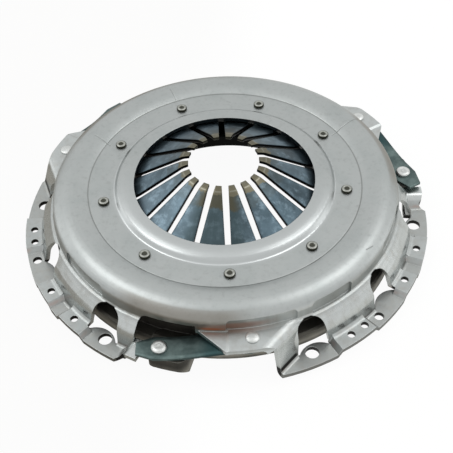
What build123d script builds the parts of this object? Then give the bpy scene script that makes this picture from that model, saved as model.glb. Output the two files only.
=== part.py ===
from build123d import *
import os
from math import cos, radians, sin, tan

# Diaphragm-spring clutch pressure plate assembly for a 280 mm friction disc.
# Millimetres. The axis of the clutch is Z, pointing away from the flywheel. Z = 0 is the face
# of the cover flange that bolts to the flywheel, and the first flywheel bolt hole is on +X.
# Radii are taken from the axis, and azimuths are in degrees, anticlockwise seen from +Z.

# ---- driving dimensions: cover pressing ----
thirds = 3                       # the cover and the plate repeat three times around
cover_sheet = 3.8                # pressed steel sheet
rim_radius = 72.4                # edge of the release-bearing opening
rim_height = 47.6
bead_crest_radius = 80.5         # rolled bead around the opening
bead_crest_height = 48.0
bead_crest_round = 18.0
bead_edge_radius = 85.4
bead_edge_height = 46.3
bead_edge_round = 6.0
bead_foot_radius = 88.5
land_height = 43.2               # flat land that carries the fulcrum rivets
land_outer_radius = 109.4
crown_height = 46.0              # the dome is highest outside the land
crown_start_radius = 115.5
crown_start_round = 27.0
crown_end_radius = 130.2
crown_end_round = 18.0
shoulder_radius = 138.8          # upper wall of the dome
shoulder_height = 39.8
shoulder_round = 6.5
ledge_height = 28.9              # ledge between the upper and the lower wall
ledge_width = 2.4
ledge_fall = 0.6
belly_radius = 149.2             # the lower wall bulges here
belly_height = 18.5
belly_round = 14.0
wall_foot_radius = 152.4
foot_round = 2.5
crease_round = 1.5

# ---- shallow recesses pressed into the upper wall ----
recess_depth = 1.5
recess_top = 40.0
recess_corner = 3.5
ledge_recesses = ((-57.0, -42.0), (-24.5, -4.8))   # above the ledge
pad_recess = (-84.0, -62.0)      # above the strap pad

# ---- flange ----
flange_margin = 11.0             # from the bolt circle to the edge of the flange
raised_pad_lift = 4.3            # the raised pads stand this far above the bolting pads
raised_pad_round = 4.0           # fillet between a raised pad and the lower wall
raised_pads = ((-15.0, -5.2), (-28.0, -19.5), (-53.7, -41.0))
pad_ramp_angle = 1.3
flange_bolt_circle = 308.0
flange_bolt_hole = 10.5
flange_bolt_azimuths = (0.0, -60.0)
dowel_outset = 4.2               # from the bolt circle outwards
dowel_hole = 7.4
dowel_azimuth = -37.4
balance_outset = 3.8
balance_hole = 6.0
balance_azimuths = (-10.7, -23.2, -43.4, -48.3)

# ---- windows in the lower wall ----
window_top = 28.6
window_round = 9.0
window_taper = 3.0               # each side leans in by this much at the top
windows = ((-1.3, 14.0), (-31.7, 12.8), (-59.0, 13.2))   # azimuth, half width at the flange
window_nose_round = 16.0         # the bolting pads end in a round nose inside each window
window_nose_reach = 146.7

# ---- strap pocket: strap pad, gusset wall, end toe ----
strap_pad_top = 29.8
strap_pad_margin = 10.4          # from the rivet to the edge of the strap pad
strap_pad_start = -83.0
strap_pad_end = -58.0
gusset_azimuth = -124.0          # the gusset wall runs in this direction
gusset_top_distance = 124.9
gusset_foot_distance = 132.2
gusset_top_round = 8.5
gusset_edge_top = 93.4           # outer edge of the gusset, along the wall from the axis
gusset_edge_foot = 97.4
web_drop = 0.9                   # the triangular web beside the strap pad lies lower
web_start = -83.9
web_end = -93.0
web_root_radius = 137.3
pocket_edge_height = 33.5
pocket_round = 8.0
toe_azimuth = -112.0             # turned-up toe at the other end of the pocket
toe_crease = -4.0
toe_top_start = 3.0
toe_end = 12.5
toe_height = 13.6
toe_radius = 163.3
toe_round = 8.0
notch_radius = 159.5             # corner between the toe and the bolting pad
notch_width = 7.3
pocket_column = 3.0
overcut = 5.0                    # cutters reach this far past what they cut

# ---- diaphragm spring and its fulcrum ----
rivet_circle_radius = 97.6
fulcrum_rivet_count = 9
finger_count = 18
first_slot_azimuth = -1.87
rivet_shank = 6.0
rivet_shoulder = 7.2
rivet_head = 8.8
rivet_head_height = 2.4
rivet_head_round = 1.0
rivet_dimple = 3.0
rivet_dimple_depth = 0.8
rivet_foot = 13.0
rivet_foot_height = 3.0
fulcrum_wire = 4.0
seat_clearance = 0.05            # fulcrum rings, leaves and rivets against what they touch
spring_sheet = 3.0
spring_cone_angle = 12.0
spring_radius = 126.5
finger_bend_radius = 72.0
finger_knee_radius = 33.5
finger_knee_height = 64.7
finger_tip_radius = 28.0
finger_tip_height = 66.0
finger_bend_round = 30.0
finger_knee_round = 12.0
slot_width = 4.0
slot_tip_width = 5.2
slot_eye = 10.0                  # round end of each slot, which lets the rivet shoulder pass

# ---- pressure plate casting ----
plate_radius = 140.0
plate_bore_radius = 93.0
plate_face_height = -4.3         # friction face with the clutch off the flywheel
plate_thickness = 13.8
plate_chamfer = 1.5
nose_radius = 124.0              # ring of noses that carries the outer edge of the spring
nose_width = 5.0
nose_root_width = 11.0
nose_gap = 0.3
nose_fall = 0.5                  # the nose falls off this much towards the rim
nose_breaks = 9
nose_break_width = 9.0
lug_half_width = 15.4
lug_offset = -6.6                # middle of the lug from its rivet, towards the cover rivet
lug_margin = 7.9                 # from the rivet to the outer face of the lug
lug_root = 12.0                  # the lug starts this far inside the ring
lug_round = 8.0
lug_underside = -2.5
lug_chamfer = 7.0
lug_counterbore = 13.5
lug_grip = 9.0

# ---- drive straps ----
leaf_count = 3
leaf_sheet = 0.7
leaf_width = 19.6
leaf_tip_width = 10.6
leaf_taper = 13.0
leaf_lug_overhang = 17.0
leaf_cover_overhang = 12.0
leaf_flat = 12.0                 # clamped flat beyond each rivet
leaf_bend_round = 40.0
strap_drop = 7.5                 # the straps fall this much from the cover to the plate
cover_rivet_radius = 146.4
cover_rivet_azimuth = -76.5
lug_rivet_radius = 152.1
lug_rivet_azimuth = -102.5
strap_rivet_shank = 8.0
cover_rivet_head = 10.4
cover_rivet_head_height = 2.0
lug_rivet_head = 11.6
lug_rivet_head_height = 2.8
strap_rivet_foot_height = 2.5
strap_rivet_chamfer = 0.8
strap_rivet_head_round = 1.3
lug_rivet_clearance = 0.15

# ---- sizes that follow from the ones above ----
flange_radius = flange_bolt_circle / 2 + flange_margin
recess_radius = shoulder_radius - recess_depth
strap_pad_radius = cover_rivet_radius + strap_pad_margin
strap_pad_inner = shoulder_radius - cover_sheet - recess_depth
lug_radius = lug_rivet_radius + lug_margin
wall_slope = (wall_foot_radius - belly_radius) / (belly_height - cover_sheet)
gusset_slope = (gusset_foot_distance - gusset_top_distance) / (strap_pad_top - cover_sheet)
toe_slope = (toe_top_start - toe_crease) / (toe_height - cover_sheet)
fulcrum_rivet_hole = rivet_shank + 2 * seat_clearance
strap_rivet_hole = strap_rivet_shank + 2 * seat_clearance
fulcrum_ring_radius = rivet_circle_radius + rivet_shoulder / 2 + fulcrum_wire / 2 + seat_clearance
land_underside = land_height - cover_sheet
spring_lean = 1 / cos(radians(spring_cone_angle))
upper_ring_height = land_underside - seat_clearance - fulcrum_wire / 2
ring_to_spring = (fulcrum_wire / 2 + seat_clearance) * spring_lean
spring_top_at_ring = upper_ring_height - ring_to_spring
lower_ring_height = spring_top_at_ring - spring_sheet * spring_lean - ring_to_spring
rivet_foot_top = lower_ring_height - fulcrum_wire / 2 - seat_clearance
strap_pad_underside = strap_pad_top - cover_sheet
leaf_pitch = leaf_sheet + seat_clearance
strap_stack = leaf_count * leaf_pitch
lug_height = strap_pad_underside - strap_drop - strap_stack


def spring_top(radius):
    """Height of the upper face of the conical part of the spring."""
    return spring_top_at_ring + (fulcrum_ring_radius - radius) * tan(radians(spring_cone_angle))


def spot(radius, azimuth, height=0.0):
    """Point at a radius and an azimuth."""
    return Vector(radius * cos(radians(azimuth)), radius * sin(radians(azimuth)), height)


def turn(profile, start=0.0, arc=360.0):
    """Solid of revolution of a closed face drawn as (radius, height)."""
    return Rot(0, 0, start) * revolve(Plane.XZ * profile, Axis.Z, revolution_arc=arc)


def polygon(*points):
    return make_face(Polyline(*points, close=True))


def ring_sector(inner, outer, bottom, top, start, end):
    """Block between two radii, two heights and two azimuths."""
    section = polygon((inner, bottom), (outer, bottom), (outer, top), (inner, top))
    return turn(section, start, end - start)


def upright(azimuth, distance=0.0):
    """Vertical plane facing outwards: local x runs anticlockwise, local y runs up."""
    facing = spot(1, azimuth)
    along = spot(1, azimuth + 90)
    return Plane(origin=facing * distance, x_dir=along, z_dir=facing)


def lying(azimuth, height):
    """Horizontal plane facing down: local x runs anticlockwise, local y runs outwards."""
    return Plane(origin=(0, 0, height), x_dir=spot(1, azimuth + 90), z_dir=(0, 0, -1))


def sheet_section(upper_line, thickness):
    """Closed section of a sheet that lies under an upper line drawn outwards."""
    return make_face(offset(upper_line, amount=thickness, side=Side.RIGHT, closed=True))


def radial_quad(inner, outer, azimuth, top, thickness):
    """Upright rectangle on a radius, used as the end of a ramp."""
    corners = [
        spot(inner, azimuth, top - thickness),
        spot(outer, azimuth, top - thickness),
        spot(outer, azimuth, top),
        spot(inner, azimuth, top),
    ]
    return make_face(Polyline(*corners, close=True))


def ramp(inner, outer, start, start_top, end, end_top):
    """Sloping piece of cover sheet between two levels."""
    first = radial_quad(inner, outer, start, start_top, cover_sheet)
    last = radial_quad(inner, outer, end, end_top, cover_sheet)
    return loft([first, last], ruled=True)


def three_times(shape):
    """The shape repeated around the axis."""
    return [Rot(0, 0, 360 / thirds * k) * shape for k in range(thirds)]


# ---- cover ----

def cover_line():
    """Upper line of the cover pressing, from the rim of the opening out to the flange."""
    points = [
        (rim_radius, rim_height),
        (bead_crest_radius, bead_crest_height),
        (bead_edge_radius, bead_edge_height),
        (bead_foot_radius, land_height),
        (land_outer_radius, land_height),
        (crown_start_radius, crown_height),
        (crown_end_radius, crown_height),
        (shoulder_radius, shoulder_height),
        (shoulder_radius, ledge_height),
        (shoulder_radius + ledge_width, ledge_height - ledge_fall),
        (belly_radius, belly_height),
        (wall_foot_radius, cover_sheet),
        (flange_radius, cover_sheet),
    ]
    rounds = [
        bead_crest_round,
        bead_edge_round,
        crease_round,
        crease_round,
        crown_start_round,
        crown_end_round,
        shoulder_round,
        crease_round,
        crease_round,
        belly_round,
        foot_round,
    ]
    return FilletPolyline(*points, radius=rounds)


def recess_cut(start, end, foot):
    """Material outside a recess in the upper wall."""
    half = recess_radius * sin(radians(end - start) / 2)
    arch = FilletPolyline(
        (-half, foot),
        (-half, recess_top),
        (half, recess_top),
        (half, foot),
        radius=recess_corner,
    )
    outline = make_face(arch + Line(arch @ 1, arch @ 0))
    block = extrude(upright((start + end) / 2) * outline, amount=flange_radius)
    return block - Cylinder(recess_radius, 4 * crown_height)


def recess_back(start, end, foot):
    """Sheet that lies behind a recess."""
    return ring_sector(recess_radius - cover_sheet, recess_radius, foot - cover_sheet,
                       recess_top, start, end)


def raised_pad_line():
    """Upper line of a raised pad, from just inside the lower wall out to the edge."""
    top = cover_sheet + raised_pad_lift
    root = top + 2 * raised_pad_round
    sunk = 0.2
    return FilletPolyline(
        (wall_foot_radius - wall_slope * (root - cover_sheet) - sunk, root),
        (wall_foot_radius - wall_slope * raised_pad_lift - sunk, top),
        (flange_radius, top),
        radius=raised_pad_round,
    )


def raised_pad(start, end):
    """Raised pad of the flange with its two ramps."""
    top = cover_sheet + raised_pad_lift
    inner = wall_foot_radius - foot_round
    half = pad_ramp_angle / 2
    section = sheet_section(raised_pad_line(), cover_sheet)
    body = turn(section, start + half, end - start - pad_ramp_angle)
    body += ramp(inner, flange_radius, start - half, cover_sheet, start + half, top)
    body += ramp(inner, flange_radius, end - half, top, end + half, cover_sheet)
    return body


def under_raised_pad(start, end):
    """Space cleared in the flange before a raised pad is put in."""
    half = pad_ramp_angle / 2
    inner = window_nose_reach - cover_sheet / 2
    return ring_sector(inner, flange_radius + overcut, -overcut, raised_pad_lift,
                       start - half, end + half)


def window_cut(azimuth, half_width):
    """Opening through the lower wall and the inner edge of the flange."""
    top_half = half_width - window_taper
    arch = FilletPolyline(
        (half_width, -overcut),
        (half_width, cover_sheet),
        (top_half, window_top),
        (-top_half, window_top),
        (-half_width, cover_sheet),
        (-half_width, -overcut),
        radius=window_round,
    )
    outline = make_face(arch + Line(arch @ 1, arch @ 0))
    opening = extrude(upright(azimuth) * outline, amount=flange_radius)
    region = turn(polygon(
        (spring_radius, -overcut),
        (wall_foot_radius, -overcut),
        (wall_foot_radius, cover_sheet),
        (wall_foot_radius + foot_round, cover_sheet),
        (wall_foot_radius + foot_round, crown_height),
        (spring_radius, crown_height),
    ))
    return opening & region


def window_nose(azimuth):
    """Round inner end of a bolting pad, which shows inside the window."""
    centre = spot(window_nose_reach + window_nose_round, azimuth)
    disc = Pos(centre.X, centre.Y, cover_sheet / 2) * Cylinder(window_nose_round, cover_sheet)
    return disc & Cylinder(flange_radius - overcut, 2 * cover_sheet)


def gusset_line():
    """Upper line across the strap pad, down the gusset wall and onto the flange."""
    return FilletPolyline(
        (gusset_top_distance / 2, strap_pad_top),
        (gusset_top_distance, strap_pad_top),
        (gusset_foot_distance, cover_sheet),
        (gusset_foot_distance + 2 * cover_sheet, cover_sheet),
        radius=[gusset_top_round, foot_round],
    )


def pad_envelope():
    """Outer limits of the strap pad, the gusset wall and the toe."""
    return turn(polygon(
        (strap_pad_inner, -overcut),
        (flange_radius, -overcut),
        (flange_radius, toe_height),
        (strap_pad_radius, strap_pad_underside),
        (strap_pad_radius, strap_pad_top + overcut),
        (strap_pad_inner, strap_pad_top + overcut),
    ))


def strap_pad():
    """Strap pad and gusset wall: one bent piece of sheet."""
    section = sheet_section(gusset_line(), cover_sheet)
    bent = extrude(upright(gusset_azimuth) * section, amount=flange_radius)
    reach = ring_sector(strap_pad_inner, flange_radius, 0, crown_height,
                        strap_pad_start, strap_pad_end)
    return bent & pad_envelope() & reach


def gusset_trim():
    """Material beyond the outer edge of the gusset wall, square to the sheet."""
    side = polygon(
        (-gusset_edge_top, strap_pad_underside),
        (-gusset_edge_foot, -overcut),
        (-flange_radius, -overcut),
        (-flange_radius, 0),
    )
    first = gusset_top_distance - 2 * gusset_top_round
    return extrude(upright(gusset_azimuth + 90, first) * side, amount=flange_radius - first)


def web():
    """Triangular web between the strap pad and the edge of the pocket."""
    top = strap_pad_top - web_drop
    inner = shoulder_radius - cover_sheet
    outline = polygon(
        spot(strap_pad_radius, web_start),
        spot(web_root_radius, web_end),
        spot(inner, web_end),
        spot(inner, web_start),
    )
    plate = extrude(Pos(0, 0, top - cover_sheet) * outline, amount=cover_sheet)
    fold = ramp(inner, strap_pad_radius, web_start, top, strap_pad_start, strap_pad_top)
    return plate + fold


def toe():
    """Turned-up toe at the end of the flange, under the tip of the straps."""
    line = FilletPolyline(
        (toe_crease - toe_end, cover_sheet),
        (toe_crease, cover_sheet),
        (toe_top_start, toe_height),
        (toe_end, toe_height),
        radius=[foot_round, cover_sheet + crease_round],
    )
    section = upright(toe_azimuth) * sheet_section(line, cover_sheet)
    bent = extrude(section, amount=flange_radius)
    height = 4 * toe_height
    return bent & (Cylinder(flange_radius, height) - Cylinder(window_nose_reach, height))


def toe_trim():
    """Material outside the toe, with the notch between it and the bolting pad."""
    outer = flange_radius + overcut
    edge = FilletPolyline(
        (toe_crease - notch_width, outer),
        (toe_crease + foot_round, notch_radius),
        (toe_top_start, toe_radius),
        (toe_end + overcut, toe_radius),
        radius=[crease_round, toe_round],
    )
    rest = Polyline(edge @ 1, (toe_end + overcut, outer), edge @ 0)
    return extrude(lying(toe_azimuth, toe_height + overcut) * make_face(edge + rest),
                   amount=toe_height + 2 * overcut)


def pocket_cut():
    """Space between the gusset wall and the toe, open to the outside."""
    before_gusset = extrude(upright(gusset_azimuth) * polygon(
        (-flange_radius, -overcut),
        (gusset_foot_distance + gusset_slope * (cover_sheet + overcut), -overcut),
        (gusset_foot_distance - gusset_slope * (strap_pad_underside - cover_sheet),
         strap_pad_underside),
        (-flange_radius, strap_pad_underside),
    ), amount=flange_radius + overcut)
    edge = FilletPolyline(
        (pocket_column, toe_height + overcut),
        (pocket_column, pocket_edge_height),
        (flange_radius, pocket_edge_height),
        radius=pocket_round,
    )
    rest = Polyline(
        (flange_radius, pocket_edge_height),
        (flange_radius, -overcut),
        (toe_crease - toe_slope * (cover_sheet + overcut), -overcut),
        (toe_top_start, toe_height),
        (pocket_column, toe_height + overcut),
    )
    after_toe = extrude(upright(toe_azimuth) * make_face(edge + rest),
                        amount=flange_radius + overcut)
    inner = shoulder_radius - cover_sheet
    outer = flange_radius + overcut
    first = toe_azimuth - overcut
    low = ring_sector(inner, outer, -overcut, strap_pad_underside, first, strap_pad_end)
    high = ring_sector(inner - 2 * cover_sheet, outer, strap_pad_underside - overcut,
                       pocket_edge_height, first, web_end)
    beside_web = ring_sector(shoulder_radius, outer, strap_pad_underside - overcut,
                             pocket_edge_height, web_end, strap_pad_start)
    return (low & before_gusset & after_toe) + (high & after_toe) + beside_web


def drilled(circle, azimuth, diameter, height=0.0, depth=40.0):
    """Round cutter on a pitch circle."""
    centre = spot(circle / 2, azimuth, height)
    return Pos(centre.X, centre.Y, centre.Z) * Cylinder(diameter / 2, depth)


def cover_holes():
    """Bolt, dowel, balance and strap rivet holes of one third of the flange."""
    holes = [drilled(flange_bolt_circle, a, flange_bolt_hole) for a in flange_bolt_azimuths]
    balance_circle = flange_bolt_circle + 2 * balance_outset
    dowel_circle = flange_bolt_circle + 2 * dowel_outset
    holes += [drilled(balance_circle, a, balance_hole) for a in balance_azimuths]
    holes.append(drilled(dowel_circle, dowel_azimuth, dowel_hole))
    holes.append(drilled(2 * cover_rivet_radius, cover_rivet_azimuth, strap_rivet_hole,
                         strap_pad_top, 4 * cover_sheet))
    return holes


def rivet_azimuths():
    return [first_slot_azimuth + 360 / fulcrum_rivet_count * k for k in range(fulcrum_rivet_count)]


def cover():
    body = turn(sheet_section(cover_line(), cover_sheet))
    recesses = [(start, end, ledge_height) for start, end in ledge_recesses]
    recesses.append((*pad_recess, strap_pad_top))
    cleared = [under_raised_pad(start, end) for start, end in raised_pads] + [pocket_cut()]
    body -= [c for shape in cleared for c in three_times(shape)]
    added = [raised_pad(start, end) for start, end in raised_pads]
    added += [recess_back(*recess) for recess in recesses]
    added += [strap_pad(), web(), toe()]
    for shape in added:
        for copy in three_times(shape):
            body += copy
    cuts = [window_cut(azimuth, half_width) for azimuth, half_width in windows]
    cuts += [recess_cut(*recess) for recess in recesses]
    cuts += [gusset_trim(), toe_trim()]
    body -= [c for shape in cuts for c in three_times(shape)]
    for azimuth, _ in windows:
        for copy in three_times(window_nose(azimuth)):
            body += copy
    body -= [c for hole in cover_holes() for c in three_times(hole)]
    body -= [drilled(2 * rivet_circle_radius, azimuth, fulcrum_rivet_hole, land_height)
             for azimuth in rivet_azimuths()]
    return body


# ---- diaphragm spring and fulcrum ----

def spring_blank():
    line = FilletPolyline(
        (finger_tip_radius, finger_tip_height),
        (finger_knee_radius, finger_knee_height),
        (finger_bend_radius, spring_top(finger_bend_radius)),
        (spring_radius, spring_top(spring_radius)),
        radius=[finger_knee_round, finger_bend_round],
    )
    return turn(sheet_section(line, spring_sheet))


def finger_slot():
    """Tapered slot with its round eye, on +X."""
    inner = finger_tip_radius - overcut
    taper = polygon(
        (inner, slot_tip_width / 2),
        (inner, -slot_tip_width / 2),
        (rivet_circle_radius, -slot_width / 2),
        (rivet_circle_radius, slot_width / 2),
    )
    slot = extrude(taper, amount=2 * finger_tip_height)
    eye = Pos(rivet_circle_radius, 0, finger_tip_height) * Cylinder(slot_eye / 2, 2 * finger_tip_height)
    return slot + eye


def diaphragm_spring():
    slot = finger_slot()
    pitch = 360 / finger_count
    return spring_blank() - [Rot(0, 0, first_slot_azimuth + pitch * k) * slot for k in range(finger_count)]


def fulcrum_ring(height):
    return turn(Pos(fulcrum_ring_radius, height) * Circle(fulcrum_wire / 2))


def fulcrum_rivet():
    """Shouldered rivet: dimpled head on the cover, foot under the lower fulcrum ring."""
    head = rivet_head / 2
    foot = rivet_foot / 2
    dimple = rivet_dimple / 2
    top = land_height + rivet_head_height
    bottom = rivet_foot_top - rivet_foot_height
    profile = polygon(
        (0, bottom),
        (foot - rivet_head_round, bottom),
        (foot, bottom + rivet_head_round),
        (foot, rivet_foot_top),
        (rivet_shoulder / 2, rivet_foot_top),
        (rivet_shoulder / 2, land_underside),
        (rivet_shank / 2, land_underside),
        (rivet_shank / 2, land_height),
        (head, land_height),
        (head, top - rivet_head_round),
        (head - rivet_head_round, top),
        (dimple + rivet_dimple_depth, top),
        (dimple, top - rivet_dimple_depth),
        (0, top - rivet_dimple_depth),
    )
    return Pos(rivet_circle_radius, 0) * turn(profile)


def fulcrum_rivets():
    rivet = fulcrum_rivet()
    return Compound([Rot(0, 0, a) * rivet for a in rivet_azimuths()])


# ---- pressure plate ----

def plate_ring():
    """Friction ring with the ridge that the spring's outer edge presses on."""
    bottom = plate_face_height
    top = plate_face_height + plate_thickness
    edge = spring_top(nose_radius) - spring_sheet * spring_lean - nose_gap
    section = polygon(
        (plate_bore_radius + plate_chamfer, bottom),
        (plate_radius - plate_chamfer, bottom),
        (plate_radius, bottom + plate_chamfer),
        (plate_radius, top - plate_chamfer),
        (plate_radius - plate_chamfer, top),
        (nose_radius + nose_root_width / 2, top),
        (nose_radius + nose_width / 2, edge - plate_chamfer),
        (nose_radius + nose_width / 2 - plate_chamfer, edge - nose_fall),
        (nose_radius, edge),
        (nose_radius - nose_width / 2 + plate_chamfer, edge),
        (nose_radius - nose_width / 2, edge - plate_chamfer),
        (nose_radius - nose_root_width / 2, top),
        (plate_bore_radius + plate_chamfer, top),
        (plate_bore_radius, top - plate_chamfer),
        (plate_bore_radius, bottom + plate_chamfer),
    )
    return turn(section)


def nose_break():
    """Gap that lets air and dust out between two noses."""
    middle = plate_face_height + plate_thickness + land_height / 2
    section = Pos(0, middle) * Rectangle(nose_break_width, land_height)
    return extrude(upright(0, nose_radius - nose_root_width) * section, amount=2 * nose_root_width)


def strap_frame():
    """Plane on a strap: origin on the plate rivet, local x towards the strap's tip."""
    start = spot(cover_rivet_radius, cover_rivet_azimuth)
    end = spot(lug_rivet_radius, lug_rivet_azimuth)
    return Plane(origin=end, x_dir=end - start, z_dir=(0, 0, 1))


def strap_length():
    start = spot(cover_rivet_radius, cover_rivet_azimuth)
    end = spot(lug_rivet_radius, lug_rivet_azimuth)
    return (end - start).length


def lug():
    """Cast lug that carries the end of one strap pack."""
    root = plate_radius - lug_root
    side = lug_radius - root
    outline = Pos((root + lug_radius) / 2, 0) * RectangleRounded(side, 2 * lug_half_width, lug_round)
    block = extrude(Pos(0, 0, plate_face_height) * outline, amount=lug_height - plate_face_height)
    middle = lug_rivet_azimuth - lug_offset / radians(lug_rivet_radius)
    envelope = turn(polygon(
        (root, lug_underside),
        (lug_radius - lug_chamfer, lug_underside),
        (lug_radius, lug_underside + lug_chamfer),
        (lug_radius, lug_height),
        (plate_radius, lug_height),
        (root, plate_face_height + plate_thickness),
    ))
    shape = (Rot(0, 0, middle) * block) & envelope
    circle = 2 * lug_rivet_radius
    shape -= drilled(circle, lug_rivet_azimuth, strap_rivet_hole, lug_height, 4 * lug_height)
    return shape - drilled(circle, lug_rivet_azimuth, lug_counterbore, -lug_grip, 2 * lug_height)


def pressure_plate():
    body = plate_ring()
    body -= [Rot(0, 0, 360 / nose_breaks * k) * nose_break() for k in range(nose_breaks)]
    for copy in three_times(lug()):
        body += copy
    return body


# ---- drive straps ----

def leaf_outline():
    """Flat outline of a leaf: a long hexagon with narrowed ends."""
    near = -strap_length() - leaf_cover_overhang
    far = leaf_lug_overhang
    wide = leaf_width / 2
    tip = leaf_tip_width / 2
    return polygon(
        (near, tip),
        (near + leaf_taper, wide),
        (far - leaf_taper, wide),
        (far, tip),
        (far, -tip),
        (far - leaf_taper, -wide),
        (near + leaf_taper, -wide),
        (near, -tip),
    )


def leaf(number):
    """One leaf of the strap pack, counted from the cover down."""
    top = strap_pad_underside - seat_clearance - number * leaf_pitch
    length = strap_length()
    line = FilletPolyline(
        (-length - leaf_cover_overhang - overcut, top),
        (-length + leaf_flat, top),
        (-leaf_flat, top - strap_drop),
        (leaf_lug_overhang + overcut, top - strap_drop),
        radius=leaf_bend_round,
    )
    lowered = Pos(0, -leaf_sheet) * line
    ends = Line(line @ 1, lowered @ 1) + Line(lowered @ 0, line @ 0)
    section = make_face(line + ends + lowered)
    band = extrude(Plane.XZ * section, amount=leaf_width, both=True)
    blank = extrude(leaf_outline(), amount=strap_pad_top)
    flat = band & blank
    holes = Cylinder(strap_rivet_shank / 2 + lug_rivet_clearance, 2 * strap_pad_top)
    holes += Pos(-length, 0, 0) * Cylinder(strap_rivet_hole / 2, 2 * strap_pad_top)
    return strap_frame().location * (flat - holes)


def cover_strap_rivet():
    """Rivet that clamps a strap pack under the strap pad."""
    top = strap_pad_top + cover_rivet_head_height
    foot = strap_pad_underside - strap_stack - seat_clearance
    return strap_rivet(top, strap_pad_top, foot, cover_rivet_head,
                       cover_rivet_radius, cover_rivet_azimuth)


def lug_strap_rivet():
    """Rivet that clamps a strap pack on a lug of the plate."""
    seat = lug_height + strap_stack
    return strap_rivet(seat + lug_rivet_head_height, seat, lug_height - lug_grip, lug_rivet_head,
                       lug_rivet_radius, lug_rivet_azimuth)


def strap_rivet(top, head_seat, foot_seat, head, radius, azimuth):
    """Button-headed rivet with a flat foot."""
    foot = foot_seat - strap_rivet_foot_height
    profile = polygon(
        (0, foot),
        (head / 2 - strap_rivet_chamfer, foot),
        (head / 2, foot + strap_rivet_chamfer),
        (head / 2, foot_seat),
        (strap_rivet_shank / 2, foot_seat),
        (strap_rivet_shank / 2, head_seat),
        (head / 2, head_seat),
        (head / 2, top - strap_rivet_head_round),
        (head / 2 - strap_rivet_head_round, top),
        (0, top),
    )
    centre = spot(radius, azimuth)
    return Pos(centre.X, centre.Y) * turn(profile)


def save(shape, name):
    export_step(shape, "parts/" + name + ".step")


def main():
    os.makedirs("parts", exist_ok=True)
    save(cover(), "cover")
    save(pressure_plate(), "pressure_plate")
    save(diaphragm_spring(), "diaphragm_spring")
    save(fulcrum_ring(upper_ring_height), "upper_fulcrum_ring")
    save(fulcrum_ring(lower_ring_height), "lower_fulcrum_ring")
    save(fulcrum_rivets(), "fulcrum_rivets")
    for k, side in enumerate("abc"):
        spin = Rot(0, 0, 360 / thirds * k)
        for number in range(leaf_count):
            save(spin * leaf(number), f"strap_{side}_leaf_{number + 1}")
        save(spin * cover_strap_rivet(), "cover_strap_rivet_" + side)
        save(spin * lug_strap_rivet(), "lug_strap_rivet_" + side)


main()
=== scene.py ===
import math

import bmesh
import bpy
import numpy as np
from mathutils import Matrix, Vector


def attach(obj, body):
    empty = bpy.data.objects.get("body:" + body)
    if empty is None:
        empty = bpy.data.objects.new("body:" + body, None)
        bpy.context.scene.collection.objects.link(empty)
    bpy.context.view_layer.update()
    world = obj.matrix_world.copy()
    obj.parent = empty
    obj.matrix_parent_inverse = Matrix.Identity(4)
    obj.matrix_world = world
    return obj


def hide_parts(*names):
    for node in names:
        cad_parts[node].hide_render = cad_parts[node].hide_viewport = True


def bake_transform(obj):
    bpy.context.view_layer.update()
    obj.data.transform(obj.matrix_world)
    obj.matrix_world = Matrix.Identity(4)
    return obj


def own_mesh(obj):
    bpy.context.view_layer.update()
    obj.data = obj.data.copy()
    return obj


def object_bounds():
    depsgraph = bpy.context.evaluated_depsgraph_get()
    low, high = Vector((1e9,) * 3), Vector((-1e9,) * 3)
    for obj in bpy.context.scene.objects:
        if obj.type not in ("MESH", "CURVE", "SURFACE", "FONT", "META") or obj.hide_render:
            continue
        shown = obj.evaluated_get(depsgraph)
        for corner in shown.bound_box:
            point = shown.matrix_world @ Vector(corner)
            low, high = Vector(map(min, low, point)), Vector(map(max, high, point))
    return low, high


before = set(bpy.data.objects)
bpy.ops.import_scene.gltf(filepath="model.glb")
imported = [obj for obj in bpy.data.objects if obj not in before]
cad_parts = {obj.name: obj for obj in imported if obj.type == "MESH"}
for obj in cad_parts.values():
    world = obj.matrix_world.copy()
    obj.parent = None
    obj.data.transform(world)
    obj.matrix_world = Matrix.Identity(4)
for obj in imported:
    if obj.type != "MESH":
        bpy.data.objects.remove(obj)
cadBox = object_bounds()
print("frame loaded:", len(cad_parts), "nodes")

mm = 0.001                     # scene units are metres
thirds = 3                     # the cover and the plate repeat three times around
third = 360 / thirds
sides = "abc"                  # names of the three strap packs


def inMm(*values):
    # lengths given in millimetres, in scene units
    return tuple(value * mm for value in values)


# shader maths

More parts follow.
